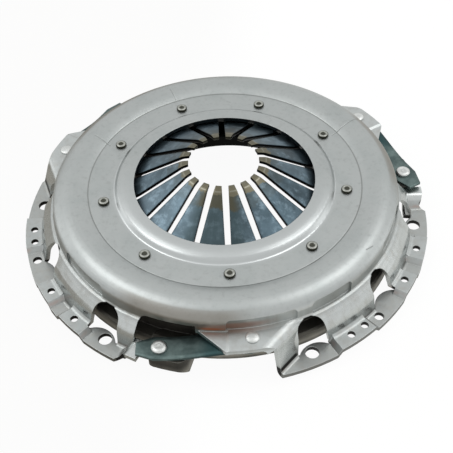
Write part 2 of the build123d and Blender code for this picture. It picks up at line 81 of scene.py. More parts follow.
class Signal:
    # one socket of a material; arithmetic on it adds Math nodes

    def __init__(self, tree, socket=None):
        self.tree = tree
        self.socket = socket

    def node(self, kind, settings=None, sockets=None, output=0):
        # the settings go in first, then the values or links of the sockets; an output is its number
        # or its name
        made = self.tree.nodes.new("ShaderNode" + kind)
        for name, value in (settings or {}).items():
            setattr(made, name, value)
        for name, value in (sockets or {}).items():
            if isinstance(value, Signal):
                self.tree.links.new(value.socket, made.inputs[name])
            else:
                made.inputs[name].default_value = value
        return Signal(self.tree, made.outputs[output])

    def maths(self, operation, *values):
        return self.node("Math", {"operation": operation}, dict(enumerate(values)))

    def __add__(self, other):
        return self.maths("ADD", self, other)

    __radd__ = __add__

    def __mul__(self, other):
        return self.maths("MULTIPLY", self, other)

    __rmul__ = __mul__

    def __sub__(self, other):
        return self.maths("SUBTRACT", self, other)

    def __rsub__(self, other):
        return self.maths("SUBTRACT", other, self)

    def __pow__(self, other):
        return self.maths("POWER", self, other)

    def __mod__(self, other):
        return self.maths("FLOORED_MODULO", self, other)

    def __abs__(self):
        return self.maths("ABSOLUTE", self)

    def rise(self, low, high):
        # 0 below low and 1 above high, smooth in between; the other way round if low is above high
        if low > high:
            return 1 - self.rise(high, low)
        return self.node("MapRange", {"interpolation_type": "SMOOTHSTEP"},
                         {"Value": self, "From Min": low, "From Max": high})

    def hump(self, centre, reach):
        # 1 at the centre, falling smoothly to 0 at reach on both sides
        return abs(self - centre).rise(reach, 0.0)

    def plateau(self, centre, reach, edge):
        # a hump with a flat top, with sides that are the steeper the smaller edge is
        return self.hump(centre, reach).rise(0.0, edge)

    def within(self, start, full, fade, end):
        # 1 from full to fade and 0 outside start and end, smooth in between
        return self.rise(start, full) * self.rise(end, fade)

    def both(self, other):
        return self.maths("MAXIMUM", self, other)

    def tint(self, first, second):
        # a colour that goes from first to second as this value goes from 0 to 1
        return self.node("Mix", {"data_type": "RGBA"}, {0: self, 6: first, 7: second}, output=2)

    def near(self, centre, pitch):
        # distance from the nearest of the centres that repeat every pitch, with its sign
        return (self - (centre - pitch / 2)) % pitch - pitch / 2


def srgb(red, green, blue):
    # screen colour 0..255 as the linear colour that a shader takes
    parts = [value / 255 for value in (red, green, blue)]
    linear = [p / 12.92 if p <= 0.04045 else ((p + 0.055) / 1.055) ** 2.4 for p in parts]
    return (*linear, 1)


def newMaterial(name, **constants):
    # a Principled material with its constant sockets set; gives it back with its shader and tree
    made = bpy.data.materials.new(name)
    made.use_nodes = True
    shader = made.node_tree.nodes["Principled BSDF"]
    for socket, value in constants.items():
        shader.inputs[socket.replace("_", " ")].default_value = value
    return made, shader, Signal(made.node_tree)


def feed(shader, start, **links):
    for socket, value in links.items():
        target = shader.inputs[socket.replace("_", " ")]
        if isinstance(value, Signal):
            start.tree.links.new(value.socket, target)
        else:
            target.default_value = value


def places(start, wanted=""):
    # the point in the part's own frame as a vector, then those of x, y, z, radius (distance from
    # the axis) and azimuth that are wanted
    point = start.node("TexCoord", output="Object")
    x, y, z = [point.node("SeparateXYZ", None, {0: point}, axis) for axis in "XYZ"]
    found = {"x": x, "y": y, "z": z, "radius": (x * x + y * y) ** 0.5,
             "azimuth": start.maths("ARCTAN2", y, x) * (180 / math.pi)}
    return [point] + [found[name] for name in wanted.split()]


def stretched(point, x, y, z):
    return point.node("VectorMath", {"operation": "MULTIPLY"}, {0: point, 1: (x, y, z)})


def noise(point, scale, detail=3.0, roughness=0.55):
    return point.node("TexNoise", None, {"Vector": point, "Scale": scale, "Detail": detail,
                                         "Roughness": roughness})


def roundedNormal(start, reach):
    return start.node("Bevel", {"samples": 6}, {"Radius": reach})


def edgeMask(start, reach):
    # 1 where the surface turns sharply within reach, 0 on open faces
    plain = start.node("NewGeometry", output="Normal")
    dot = start.node("VectorMath", {"operation": "DOT_PRODUCT"},
                     {0: roundedNormal(start, reach), 1: plain}, "Value")
    return dot.rise(0.985, 0.75)


def bump(start, height, distance, reach):
    # height as a bump over normals that are rounded at the edges
    return start.node("Bump", None, {"Height": height, "Strength": 1.0, "Distance": distance,
                                     "Normal": roundedNormal(start, reach)})


def besideLine(x, y, first, last):
    # distance in metres from the straight mark between two points given as (radius mm, azimuth)
    ends = [np.array([r * math.cos(math.radians(a)), r * math.sin(math.radians(a))]) * mm
            for r, a in (first, last)]
    run = ends[1] - ends[0]
    length = float(np.linalg.norm(run))
    along = ((x - float(ends[0][0])) * float(run[0] / length)
             + (y - float(ends[0][1])) * float(run[1] / length))
    across = ((x - float(ends[0][0])) * float(-run[1] / length)
              + (y - float(ends[0][1])) * float(run[0] / length))
    beyond = (along - length).both(0 - along).both(0.0)
    return (across * across + beyond * beyond) ** 0.5


# surfaces from arrays

def joined(name, sheets, finish, body=None):
    # sheets are arrays of points (... rows, columns, 3) in mm; each becomes a grid of quads
    points, faces, count = [], [], 0
    for sheet in sheets:
        index = count + np.arange(sheet[..., 0].size).reshape(sheet.shape[:-1])
        corners = [index[..., :-1, :-1], index[..., 1:, :-1], index[..., 1:, 1:], index[..., :-1, 1:]]
        faces.append(np.stack(corners, -1).reshape(-1, 4))
        points.append(sheet.reshape(-1, 3))
        count += index.size
    mesh = bpy.data.meshes.new(name)
    mesh.from_pydata((np.vstack(points) * mm).tolist(), [], np.vstack(faces).tolist())
    work = bmesh.new()
    work.from_mesh(mesh)
    bmesh.ops.remove_doubles(work, verts=work.verts, dist=0.002 * mm)
    bmesh.ops.dissolve_degenerate(work, edges=work.edges, dist=0.001 * mm)
    bmesh.ops.recalc_face_normals(work, faces=work.faces)
    work.to_mesh(mesh)
    work.free()
    mesh.shade_smooth()
    made = bpy.data.objects.new(name, mesh)
    bpy.context.scene.collection.objects.link(made)
    mesh.materials.append(finish)
    if body:
        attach(made, body)
    return made


def softened(points, cut, steps=6):
    # a line whose inner corners become quadratic curves that start and end a cut away from them
    points = np.array(points, float)
    corner = points[1:-1]
    cut = np.broadcast_to(cut, len(corner))[:, None]
    before, after = points[:-2] - corner, points[2:] - corner
    before = corner + before / np.linalg.norm(before, axis=1)[:, None] * cut
    after = corner + after / np.linalg.norm(after, axis=1)[:, None] * cut
    t = np.linspace(0, 1, steps)[None, :, None]
    curves = (1 - t) ** 2 * before[:, None] + 2 * t * (1 - t) * corner[:, None] + t ** 2 * after[:, None]
    return np.vstack([points[:1], curves.reshape(-1, 2), points[-1:]])


def turned(line, centre, segments=48):
    # a line of (radius, height) carried round upright axes; centre holds the (x, y) of each
    angle = np.linspace(0, 2 * np.pi, segments + 1)
    centre = np.atleast_2d(centre)[:, None, None, :]
    x = centre[..., 0] + line[:, 0][None, :, None] * np.cos(angle)
    y = centre[..., 1] + line[:, 0][None, :, None] * np.sin(angle)
    z = np.broadcast_to(line[:, 1][None, :, None], x.shape)
    return np.stack([x, y, z], -1)


def edgeDrop(distance, reach):
    # how far a quarter-round edge of that reach lies below the face, by distance from the edge
    short = reach - np.clip(distance, 0, reach)
    return reach - np.sqrt(reach ** 2 - short ** 2)


def spot(radius, azimuth):
    # (x, y) of points at a radius and azimuths in degrees
    angle = np.radians(azimuth)
    return np.stack([radius * np.cos(angle), radius * np.sin(angle)], -1)


# cover: the pressing comes from the frame, with its finish worked out here

# dark tone of specks and die marks, also used as painted shade in the land crease
grimeAndShade = srgb(96, 98, 94)
# light tone that paints highlights on the walls
paintedHighlight = srgb(200, 204, 203)

coverFinish = {
    "steel": srgb(169, 173, 172),        # pressed steel, satin
    "roughness": 0.34,
    "beadGloss": 0.07,                   # how much smoother the rolled bead is
    "drawnGloss": 0.13,                  # and the drawn lower wall
    "edgeRound": 0.5 * mm,
    "grain": 0.03 * mm,
    "dents": 0.35 * mm,                  # long waves left by the press
    "noises": {                          # scale, detail and roughness
        "cloud": (26.0, 4.0),
        "patch": (70.0, 5.0, 0.6),
        "speck": (240.0, 4.0, 0.7),
        "fine": (900.0, 2.0),
        "wave": (75.0, 1.0),
        "drawn": (190.0, 2.0),           # streaks drawn up the walls
    },
    "drawnStretch": (1.0, 1.0, 0.12),
    "layers": {                          # colours over the steel, in order, and how strongly each covers
        "rubbed": (srgb(156, 162, 161), 1.0),
        "flange": (srgb(160, 163, 161), 0.8),
        "specks": (grimeAndShade, 0.22),
        "belly": (paintedHighlight, 1.0),        # painted highlight: the lower wall lighter, brightest along its roundest line
        # painted shade: the upper wall darker
        "wall": (srgb(168, 168, 163), 0.25),
        "panel": (paintedHighlight, 0.6),        # painted highlight on the wall behind the strap pad
        # painted shade, dark and warm, on the wall above the strap pockets
        "pocket": (srgb(116, 106, 92), 0.55),
        # painted highlight on the strap pad
        "strapPad": (paintedHighlight, 0.35),
        "drawn": (srgb(158, 156, 150), 0.4),
        # painted highlight on one side of the bead
        "bead": (srgb(184, 188, 188), 0.7),
        # painted shade along the land crease
        "crease": (grimeAndShade, 0.55),
        "marks": (grimeAndShade, 0.45),
        "rust": (srgb(170, 108, 80), 1.0),
        "cutEdge": (srgb(84, 82, 76), 0.7),
        # painted shade in the flange's holes
        "holes": (srgb(18, 18, 17), 0.92),
        # painted shade on the lip of the opening
        "lipShade": (srgb(20, 21, 22), 0.95),
        # edges lighter, partly wear and partly painted highlight; painted highlight along the bead's foot
        "paleEdges": (srgb(214, 218, 218), 1.0),
    },
    "marks": (                           # witness marks of the die, (radius, azimuth) of both ends
        ((124.9, 118.6), (111.3, 118.3)),
        ((122.7, 158.6), (106.3, 160.2)),
        ((136.8, 38.4), (103.9, 35.9)),
        ((131.0, -30.4), (133.0, -27.6)),
        ((98.2, 92.9), (98.8, 94.3)),
    ),
    "markEdge": inMm(0.55, 0.1),
    "markHeight": inMm(40, 42),
}

coverZones = {                           # where the soft edges of each zone start and end
    "top": inMm(38, 41),                 # height, from the upper wall on to the dome
    "flange": inMm(5.5, 4.2),            # height, down to the bolting pads
    "bead": inMm(92, 88),                # radius
    "beadLitSide": inMm(20, -50),           # y, the bead is painted lighter on one side, a painted highlight
    "beadFoot": inMm(88.4, 1.0),         # radius and reach of the painted highlight along the bead's foot
    "landCrease": inMm(109.4, 0.9),
    "bellyTop": inMm(29, 26),            # height of the lower wall
    "bellyLow": inMm(4, 6),
    "bellyInside": inMm(153, 150),       # radius, leaves out the raised pads of the flange
    "abovePads": inMm(9, 11),            # height
    "bellyRound": inMm(17, 9),           # height of its roundest line and reach
    "wall": inMm(28, 30, 37.5, 41.5),    # height of the upper wall
    "wallRing": (*inMm(139, 3), 0.3),    # radius, reach and edge
    "panel": (19.0, 0.5),                # reach and edge around its azimuth
    "panelAt": -66,
    "pocket": (30.0, 0.6),
    "pocketAt": -98,
    "pocketRim": inMm(28, 31, 42, 47.5),
    "pocketRing": (*inMm(136.5, 6.5), 0.35),
    "strapPad": inMm(24, 25, 30, 31),
    "strapPadRing": (*inMm(150, 9), 0.3),
    "ramp": inMm(6.0, 2.1),              # height and reach of the slopes beside the raised pads
    "rampOutside": inMm(148, 151),
    "webAt": -88.5,
    "webReach": 5.5,
    "webTop": inMm(31.6, 2.2),
    "seamAt": -80,                       # bend between the upper wall and the strap pad
    "seamReach": 19.0,
    "seam": inMm(33.5, 5.5),
    "seamRing": inMm(138.5, 4),
    "raisedPad": (inMm(151.5, 153), inMm(9, 7.5)),      # radius, height
    "boltingPad": (inMm(146.5, 147.5), inMm(4.2, 3.7)),
    "holes": inMm(164, 163),             # radius, short of the flange's rim
    "lipShade": inMm(75.5, 74),
}


def coverNoises(point):
    streaks = stretched(point, *coverFinish["drawnStretch"])
    return {name: noise(streaks if name == "drawn" else point, *values)
            for name, values in coverFinish["noises"].items()}


def dieMarks(x, y, z):
    mark = 0.0
    for first, last in coverFinish["marks"]:
        mark = besideLine(x, y, first, last).rise(*coverFinish["markEdge"]).both(mark)
    return mark * z.rise(*coverFinish["markHeight"])


def wallMasks(z, radius, azimuth):
    # the zones of the two drawn walls, where light and shade are painted: painted highlight on the belly,
    # the panel and the strap pad, painted shade on the upper wall and round the rim of the strap pockets
    zone = coverZones
    inside = z.rise(*zone["bellyLow"]) * radius.rise(*zone["bellyInside"])
    low = z.rise(*zone["bellyTop"]) * inside.both(z.rise(*zone["abovePads"]))
    wall = z.within(*zone["wall"]) * radius.plateau(*zone["wallRing"])
    pocket = azimuth.near(zone["pocketAt"], third).plateau(0.0, *zone["pocket"])
    return low, {
        "belly": low * (z.hump(*zone["bellyRound"]) * 0.3 + 0.5),
        "wall": wall,
        "panel": wall * azimuth.near(zone["panelAt"], third).plateau(0.0, *zone["panel"]),
        "pocket": pocket * z.within(*zone["pocketRim"]) * radius.plateau(*zone["pocketRing"]),
        "strapPad": radius.plateau(*zone["strapPadRing"]) * z.within(*zone["strapPad"]),
    }


def rustMask(z, radius, azimuth, noises):
    # patches on the ramps of the flange, on top of each web, and along the bend beside it
    zone, patch = coverZones, noises["patch"]
    ramps = z.hump(*zone["ramp"]) * radius.rise(*zone["rampOutside"])
    web = azimuth.near(zone["webAt"], third).hump(0.0, zone["webReach"]) * z.hump(*zone["webTop"])
    seam = azimuth.near(zone["seamAt"], third).hump(0.0, zone["seamReach"])
    seam = seam * z.hump(*zone["seam"]) * radius.hump(*zone["seamRing"])
    return (ramps * patch.rise(0.42, 0.65) * 0.25 + web * patch.rise(0.2, 0.5)
            + seam.rise(0.0, 0.7) * noises["cloud"].rise(0.3, 0.6) * 0.45)


def cutMasks(start, z, radius):
    # blanked edges stand upright: the flange's rim, the walls of its holes, the lip of the opening; the
    # hole walls and the lip are painted near black as shade
    normal = start.node("NewGeometry", output="Normal")
    lean = abs(start.node("SeparateXYZ", None, {0: normal}, "Z"))
    pads = [radius.rise(*ring) * z.rise(*height)
            for ring, height in (coverZones["raisedPad"], coverZones["boltingPad"])]
    rim = lean.rise(0.6, 0.3) * pads[0].both(pads[1])
    return {"cutEdge": rim, "holes": rim * radius.rise(*coverZones["holes"]),
            "lipShade": lean.rise(0.9, 0.7) * radius.rise(*coverZones["lipShade"])}


def coverMaterial():
    f, zone = coverFinish, coverZones
    made, shader, start = newMaterial("pressed_steel", Metallic=1.0, Specular_IOR_Level=0.5)
    point, x, y, z, radius, azimuth = places(start, "x y z radius azimuth")
    noises = coverNoises(point)
    cloud, patch, fine, drawn = [noises[name] for name in ("cloud", "patch", "fine", "drawn")]
    top = z.rise(*zone["top"])
    bead = radius.rise(*zone["bead"])
    crease = radius.hump(*zone["landCrease"]) * top
    # painted highlight along the bead's foot
    foot = radius.hump(*zone["beadFoot"]) * top
    edges = edgeMask(start, 0.7 * mm)
    lowWall, masks = wallMasks(z, radius, azimuth)
    masks.update(cutMasks(start, z, radius))
    masks["rubbed"] = cloud.rise(0.42, 0.72) * 0.45 + patch.rise(0.45, 0.8) * 0.4
    masks["flange"] = z.rise(*zone["flange"])
    masks["specks"] = noises["speck"].rise(0.48, 0.8)
    masks["drawn"] = (1 - top) * drawn.rise(0.4, 0.8)
    masks["bead"] = bead * y.rise(*zone["beadLitSide"])
    # painted shade along the land crease
    masks["crease"] = crease
    masks["marks"] = dieMarks(x, y, z)
    masks["rust"] = rustMask(z, radius, azimuth, noises)
    # edges partly wear and partly painted highlight, and a painted highlight along the bead's foot
    masks["paleEdges"] = edges * 0.5 + foot * 0.35
    colour = f["steel"]
    for name, (shade, strength) in f["layers"].items():
        colour = (masks[name] * strength).tint(colour, shade)
    roughness = (f["roughness"] + cloud * 0.06 + fine * 0.05 - edges * 0.1
                 - lowWall * f["drawnGloss"] - bead * f["beadGloss"])
    wave = noises["wave"] * (1 - top) * (f["dents"] / f["grain"])
    height = fine * 0.4 + cloud * 0.5 + drawn * (1 - top) * 0.8 + wave
    height = height - masks["marks"] * 6.0 - crease * 5.0
    feed(shader, start, Base_Color=colour, Roughness=roughness,
         Normal=bump(start, height, f["grain"], f["edgeRound"]))
    return made


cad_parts["cover"].data.materials.clear()
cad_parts["cover"].data.materials.append(coverMaterial())
print("cover finished")


# diaphragm spring

spring = {
    "fingers": 18,
    "firstSlot": -1.87,            # azimuth of the first slot
    "tip": 28.0,
    "rim": 126.5,
    "tipHeight": 66.0,
    "sheet": 3.0,
    "slopes": (-0.2364, -0.5922, -0.2126),
    "knees": ((33.5, 1.7), (72.0, 4.5)),      # radius where the slope changes, reach of the round
    "slotTip": (23.0, 2.6),        # radius and half width of a slot, at its ends
    "slotRoot": (97.6, 2.0),
    "eye": 5.0,                    # radius of the round end of each slot
    "edge": 0.6,                   # rounding of all edges
    "columns": (0.0, 0.1, 0.3),    # distances from the slot where the mesh is finer
    "edgeRows": (0.0, 0.12, 0.35, 0.7),       # and from the tip, the eyes and the rim
    "rows": ((29.4, 31.4, 3), (32.0, 35.2, 9), (37.0, 66.5, 14), (67.5, 76.8, 10), (79.0, 92.0, 8)),
    "eyeSwing": (-66.0, 90.0, 15),            # rows round an eye, by angle
    "rowsPastEye": (104.4, 125.2, 10),
}


def springTop(radius):
    # straight slopes joined by parabolas: z = z0 + s r + sum of (change of slope x soft ramp)
    s = spring["slopes"]
    height = spring["tipHeight"] + s[0] * (radius - spring["tip"])
    for k, (where, reach) in enumerate(spring["knees"]):
        past = radius - where
        ramp = np.where(past > reach, past, np.clip(past + reach, 0, None) ** 2 / (4 * reach))
        height = height + (s[k + 1] - s[k]) * ramp
    return height


def slotHalf(along):
    # half width of a slot and its eye, by distance along its centre line; 0 beyond the eye
    (near, wide), (far, narrow) = spring["slotTip"], spring["slotRoot"]
    taper = np.where(along <= far, wide + (narrow - wide) * (along - near) / (far - near), 0)
    eye = np.sqrt(np.clip(spring["eye"] ** 2 - (along - far) ** 2, 0, None))
    return np.maximum(taper, eye)


def springRows():
    # radii of the mesh rows, closer together at the knees, round the eyes and at the edges
    s, edge = spring, np.array(spring["edgeRows"])
    root, eye = s["slotRoot"][0], s["eye"]
    swing = np.radians(np.linspace(*s["eyeSwing"]))
    return np.concatenate([s["tip"] + edge, *[np.linspace(*part) for part in s["rows"]],
                           root + eye * np.sin(swing), root + eye + edge[1:],
                           np.linspace(*s["rowsPastEye"]), s["rim"] - edge[::-1]])


def springRoom(radius, aside):
    # distance of a point from the nearest edge: slot, eye, tip or rim; aside is its angle from a slot
    along, off = radius * np.cos(aside), radius * np.sin(aside)
    root, eye = spring["slotRoot"][0], spring["eye"]
    beyond = 2 * spring["rim"]                     # past the root there is no slot
    room = np.where(along < root, off - slotHalf(along), beyond)
    room = np.minimum(room, np.hypot(along - root, off) - eye)
    return np.minimum(room, np.minimum(radius - spring["tip"], spring["rim"] - radius))


def springFaces():
    # a finger is a grid: rows by radius, columns by distance from the slots on both sides; the
    # lower face is the upper one moved down by the sheet, and both round off towards the edges
    radius = springRows()[:, None]
    pitch = np.radians(360 / spring["fingers"])
    half = (pitch / 2 - np.arcsin(slotHalf(radius) / radius)) * radius
    edge, fine = spring["edge"], np.array(spring["columns"])
    across = np.hstack([-half + fine, (half - edge) * np.linspace(-1, 1, 9), half - fine[::-1]])
    angle = across / radius
    drop = edgeDrop(springRoom(radius, pitch / 2 - np.abs(angle)), edge)
    top = springTop(radius)
    slope = (springTop(radius + 0.01) - springTop(radius - 0.01)) / 0.02
    low = top - spring["sheet"] * np.sqrt(1 + slope ** 2)
    centre = np.radians(spring["firstSlot"]) + pitch * (np.arange(spring["fingers"]) + 0.5)
    turn = centre[:, None, None] + angle
    x, y = radius * np.cos(turn), radius * np.sin(turn)
    return [np.stack([x, y, np.broadcast_to(z, x.shape)], -1) for z in (top - drop, low + drop)]


def springPiece(finish):
    # the two faces, the sides of the slots and eyes, and the edges at the tip and the rim
    upper, lower = springFaces()
    eyeEnd = spring["slotRoot"][0] + spring["eye"]
    slotRows = int((springRows() <= eyeEnd + 1e-6).sum())
    sheets = [upper, lower]
    for column in (0, -1):
        sheets.append(np.stack([upper[:, :slotRows, column], lower[:, :slotRows, column]], 2))
    for row in (0, -1):
        sheets.append(np.stack([upper[:, row], lower[:, row]], 2))
    return joined("spring_fingers", sheets, finish)


springFinish = {
    "steel": srgb(88, 106, 116),         # oil-quenched blue grey
    "pale": srgb(136, 156, 168),
    "dark": srgb(54, 66, 72),
    "nearFingers": srgb(56, 70, 72),           # painted shade on the fingers round one azimuth
    "cut": srgb(14, 15, 16),             # blanked sides of the fingers and their tip ends, painted near black as shade
    "tip": srgb(104, 100, 84),           # induction-hardened tips
    "brown": srgb(78, 74, 58),
    "rubbed": srgb(150, 150, 140),       # line where the release bearing touches
    "contact": inMm(33.5, 0.9),          # its radius and reach
    "contactSide": inMm(2.9, 3.8),       # it stops this far from the middle of a slot
    "brownTo": inMm(54, 51),             # radius where the hardening colour fades out
    "tipTo": inMm(43.5, 42.5),
    "slotShade": inMm(4.2, 2.6),          # painted shade along the slots, by distance from their middle
    "slotShadeEnd": inMm(96, 90),
    "cutWide": inMm(0.30, 0.08),
    "tipCut": inMm(28.3, 28.1),
    "nearFingersAt": (-91.0, 30.0, 0.5),       # azimuth, reach and edge
    "cloud": (55.0, 4.0),                # noises: scale, detail and roughness
    "blotch": (150.0, 4.0, 0.65),
    "fine": (1400.0, 2.0),
    "grain": (260.0, 3.0),               # streaks along those fingers
    "roughness": 0.3,
}


def springMaterial():
    f = springFinish
    made, shader, start = newMaterial("spring_steel_blue", Metallic=1.0)
    point, z, radius, azimuth = places(start, "z radius azimuth")
    cloud, blotch, fine = [noise(point, *f[name]) for name in ("cloud", "blotch", "fine")]
    pitch = 360 / spring["fingers"]
    number = start.maths("FLOOR", (azimuth - spring["firstSlot"]) * (1 / pitch))
    finger = number.node("TexWhiteNoise", {"noise_dimensions": "1D"}, {"W": number})
    offSlot = (pitch / 2 - abs(azimuth.near(spring["firstSlot"] + pitch / 2, pitch))) * radius
    offSlot = offSlot * (math.pi / 180)
    colour = (cloud.rise(0.35, 0.7) * 0.8).tint(f["dark"], f["steel"])
    colour = (finger * 0.4 + blotch.rise(0.45, 0.75) * 0.5).tint(colour, f["pale"])
    # painted shade darkens the fingers round one azimuth; the hardening colour also reaches further on
    # them
    nearFingers = azimuth.plateau(*f["nearFingersAt"])
    along = point.node("CombineXYZ", None, {0: radius * 0.1, 1: azimuth * 0.02, 2: z * 0.1})
    grain = noise(along, *f["grain"])
    colour = (nearFingers * (0.45 + grain * 0.5)).tint(colour, f["nearFingers"])
    # painted shade along the slot edges
    edge = offSlot.rise(*f["slotShade"]) * radius.rise(*f["slotShadeEnd"])
    colour = (edge * 0.45).tint(colour, f["dark"])
    reach = radius + blotch * 0.010 + finger * 0.004      # ragged ends of the hardening colours
    colour = (reach.rise(*f["brownTo"]) * (0.2 + nearFingers * 0.6)).tint(colour, f["brown"])
    colour = (reach.rise(*f["tipTo"]) * 0.9).tint(colour, f["tip"])
    rubbed = radius.hump(*f["contact"]) * offSlot.rise(*f["contactSide"])
    colour = (rubbed * 0.45).tint(colour, f["rubbed"])
    (near, wide), (far, narrow) = spring["slotTip"], spring["slotRoot"]
    slotWide = wide * mm + (radius - near * mm) * ((narrow - wide) / (far - near))
    # painted shade: near black along the slot sides and on the tip ends
    cut = (offSlot - slotWide).rise(*f["cutWide"])
    colour = cut.both(radius.rise(*f["tipCut"]) * 0.7).tint(colour, f["cut"])
    roughness = f["roughness"] + cloud * 0.12 + blotch * 0.05 - rubbed * 0.08
    feed(shader, start, Base_Color=colour, Roughness=roughness,
         Normal=bump(start, fine * 0.5 + blotch, 0.012 * mm, 0.3 * mm))
    return made


springTable = springPiece(springMaterial())
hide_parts("diaphragm_spring")
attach(springTable, "cover")
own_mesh(springTable)
print("spring made:", len(springTable.data.polygons), "faces")


# fulcrum rivets

fulcrum = {
    "circle": 97.6,
    "count": 9,
    "first": -1.87,
    "land": 43.2,
    "sheet": 3.8,
    "head": 4.4,                   # radius
    "rise": 2.4,                   # how far the head stands up from the land
    "side": 1.75,                  # upright part of the head
    "ring": 3.2,                   # flat ring around the dish
    "dish": 2.3,
    "dishDepth": 0.9,
    "shoulder": 3.6,
    "foot": 6.5,
    "footTop": 27.96,
    "footHeight": 3.0,
}


def fulcrumPiece(finish):
    # one profile turned round nine axes: dished head, shank, shoulder, foot
    f = fulcrum
    top, under = f["land"] + f["rise"], f["land"] - f["sheet"]
    bottom = f["footTop"] - f["footHeight"]
    line = softened([
        (0, top - f["dishDepth"]), (f["dish"] - 0.75, top - f["dishDepth"]), (f["dish"], top),
        (f["ring"], top), (f["head"], f["land"] + f["side"]), (f["head"], f["land"]),
        (f["shoulder"] - 0.6, f["land"]), (f["shoulder"] - 0.6, under), (f["shoulder"], under),
        (f["shoulder"], f["footTop"]), (f["foot"], f["footTop"]), (f["foot"], bottom), (0, bottom)],
        (0.35, 0.3, 0.3, 0.45, 0.15, 0.05, 0.05, 0.05, 0.3, 0.2, 0.5))
    azimuths = f["first"] + 360 / f["count"] * np.arange(f["count"])
    return joined("fulcrum_rivet_heads", [turned(line, spot(f["circle"], azimuths))], finish, "cover")


fulcrumFinish = {
    "ring": srgb(158, 160, 154),         # rubbed bright on top
    "side": srgb(50, 51, 44),            # phosphated, and painted shade on the head's side and below the land
    "dish": srgb(74, 75, 68),
    "grain": (520.0, 3.0),
    "roughness": 0.34,
}


def fulcrumMaterial():
    f, r = fulcrumFinish, fulcrum
    made, shader, start = newMaterial("phosphated_rivet", Metallic=1.0)
    point, z, radius, azimuth = places(start, "z radius azimuth")
    angle = azimuth.near(r["first"], 360 / r["count"]) * (math.pi / 180)
    along = radius * start.maths("COSINE", angle) - r["circle"] * mm
    off = radius * start.maths("SINE", angle)
    own = (along * along + off * off) ** 0.5              # distance from the rivet's own axis
    grain = noise(point, *f["grain"])
    colour = own.rise((r["dish"] - 0.5) * mm, r["dish"] * mm).tint(f["dish"], f["ring"])
    # painted shade: the head's side and everything below the land take the dark side tone
    colour = own.rise((r["ring"] + 0.35) * mm, (r["head"] - 0.25) * mm).tint(colour, f["side"])
    colour = (z.rise((r["land"] - 1) * mm, (r["land"] - 2) * mm)).tint(colour, f["side"])
    colour = (grain.rise(0.45, 0.7) * 0.3).tint(colour, f["side"])
    feed(shader, start, Base_Color=colour, Roughness=f["roughness"] + grain * 0.16,
         Normal=bump(start, grain, 0.03 * mm, 0.2 * mm))
    return made


fulcrumHeads = fulcrumPiece(fulcrumMaterial())
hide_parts("fulcrum_rivets")
print("fulcrum rivets made")


def metal(name, light, dark, roughness, scale, grain, reach):
    # a plain finish: two tones in a cloud, fine grain, rounded edges
    made, shader, start = newMaterial(name, Metallic=1.0)
    point = places(start)[0]
    cloud = noise(point, scale, 4.0)
    fine = noise(point, scale * 12, 3.0)
    feed(shader, start, Base_Color=cloud.rise(0.35, 0.7).tint(dark, light),
         Roughness=roughness + cloud * 0.12,
         Normal=bump(start, fine + cloud, grain, reach))
    return made


wire = metal("oiled_wire", srgb(56, 60, 64), srgb(32, 35, 38), 0.34, 200.0, 0.01 * mm, 0.2 * mm)
for name in ("upper_fulcrum_ring", "lower_fulcrum_ring"):
    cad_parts[name].data.materials.clear()
    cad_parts[name].data.materials.append(wire)


# pressure plate: the casting comes from the frame

ironFinish = {
    "dark": srgb(88, 87, 82),
    "light": srgb(138, 135, 126),
    "machined": srgb(150, 152, 150),
    "edge": srgb(150, 150, 144),
    "boreShade": srgb(15, 15, 14),            # painted shade inside the ring
    "coverShade": srgb(44, 42, 38),            # painted shade on the upper part, under the cover
    "turned": srgb(172, 169, 160),       # painted highlight in a band round the outside
    "boreShadeTo": inMm(112, 100),            # radius
    "coverShadeFrom": inMm(4, 11),             # height
    "highlightBandAt": inMm(1.5, 3.5),          # height and reach
    "highlightBandFrom": inMm(137, 139),        # radius
    "faceTo": inMm(-4.0, -4.2),          # below this the friction face is turned smooth
    "ringPitch": 9000.0,                 # turning marks, in radians per metre
    "cloud": (45.0, 5.0),
    "sand": (700.0, 4.0, 0.7),
    "sandHeight": 0.22 * mm,
    "roughness": 0.6,
    "faceGloss": 0.26,                   # how much smoother the friction face is
}


def castIronMaterial():
    f = ironFinish
    made, shader, start = newMaterial("cast_iron", Metallic=0.9)
    point, z, radius = places(start, "z radius")
    cloud, sand = [noise(point, *f[name]) for name in ("cloud", "sand")]
    face = z.rise(*f["faceTo"])
    rings = start.maths("SINE", radius * f["ringPitch"])
    highlightBand = z.hump(*f["highlightBandAt"]) * radius.rise(*f["highlightBandFrom"])
    cast = cloud.rise(0.3, 0.7).tint(f["dark"], f["light"])
    cast = (z.rise(*f["coverShadeFrom"]) * 0.75).tint(cast, f["coverShade"])
    # painted highlight along the band low on the outside
    cast = (highlightBand * 0.6).tint(cast, f["turned"])
    cast = (edgeMask(start, 0.9 * mm) * 0.6).tint(cast, f["edge"])
    cast = radius.rise(*f["boreShadeTo"]).tint(cast, f["boreShade"])
    colour = face.tint(cast, f["machined"])
    roughness = f["roughness"] - face * f["faceGloss"]
    height = sand * (1 - face) + rings * face * 0.1
    feed(shader, start, Base_Color=colour, Roughness=roughness,
         Normal=bump(start, height, f["sandHeight"], 0.8 * mm))
    return made


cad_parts["pressure_plate"].data.materials.clear()
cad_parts["pressure_plate"].data.materials.append(castIronMaterial())


# drive straps and their rivets

strap = {
    "leaves": 3,
    "sheet": 0.7,
    "pitch": 0.75,
    "top": 25.95,                  # top of the uppermost leaf at the cover
    "drop": 7.5,                   # fall from the cover to the lug
    "flat": 8.0,                   # clamped flat beyond each rivet
    "wide": 9.8,                   # half width
    "narrow": 5.3,                 # half width of the ends
    "taper": 13.0,                 # length of each end
    "coverEnd": 12.0,              # how far the leaf reaches past each rivet
    "lugEnd": 17.0,
    "coverRivet": (146.4, -76.5),
    "lugRivet": (152.1, -102.5),
    "edge": 0.12,
}


def strapEnds(side):
    # places of the rivets at the cover and at the lug
    return [spot(strap[end][0], strap[end][1] + third * side) for end in ("coverRivet", "lugRivet")]


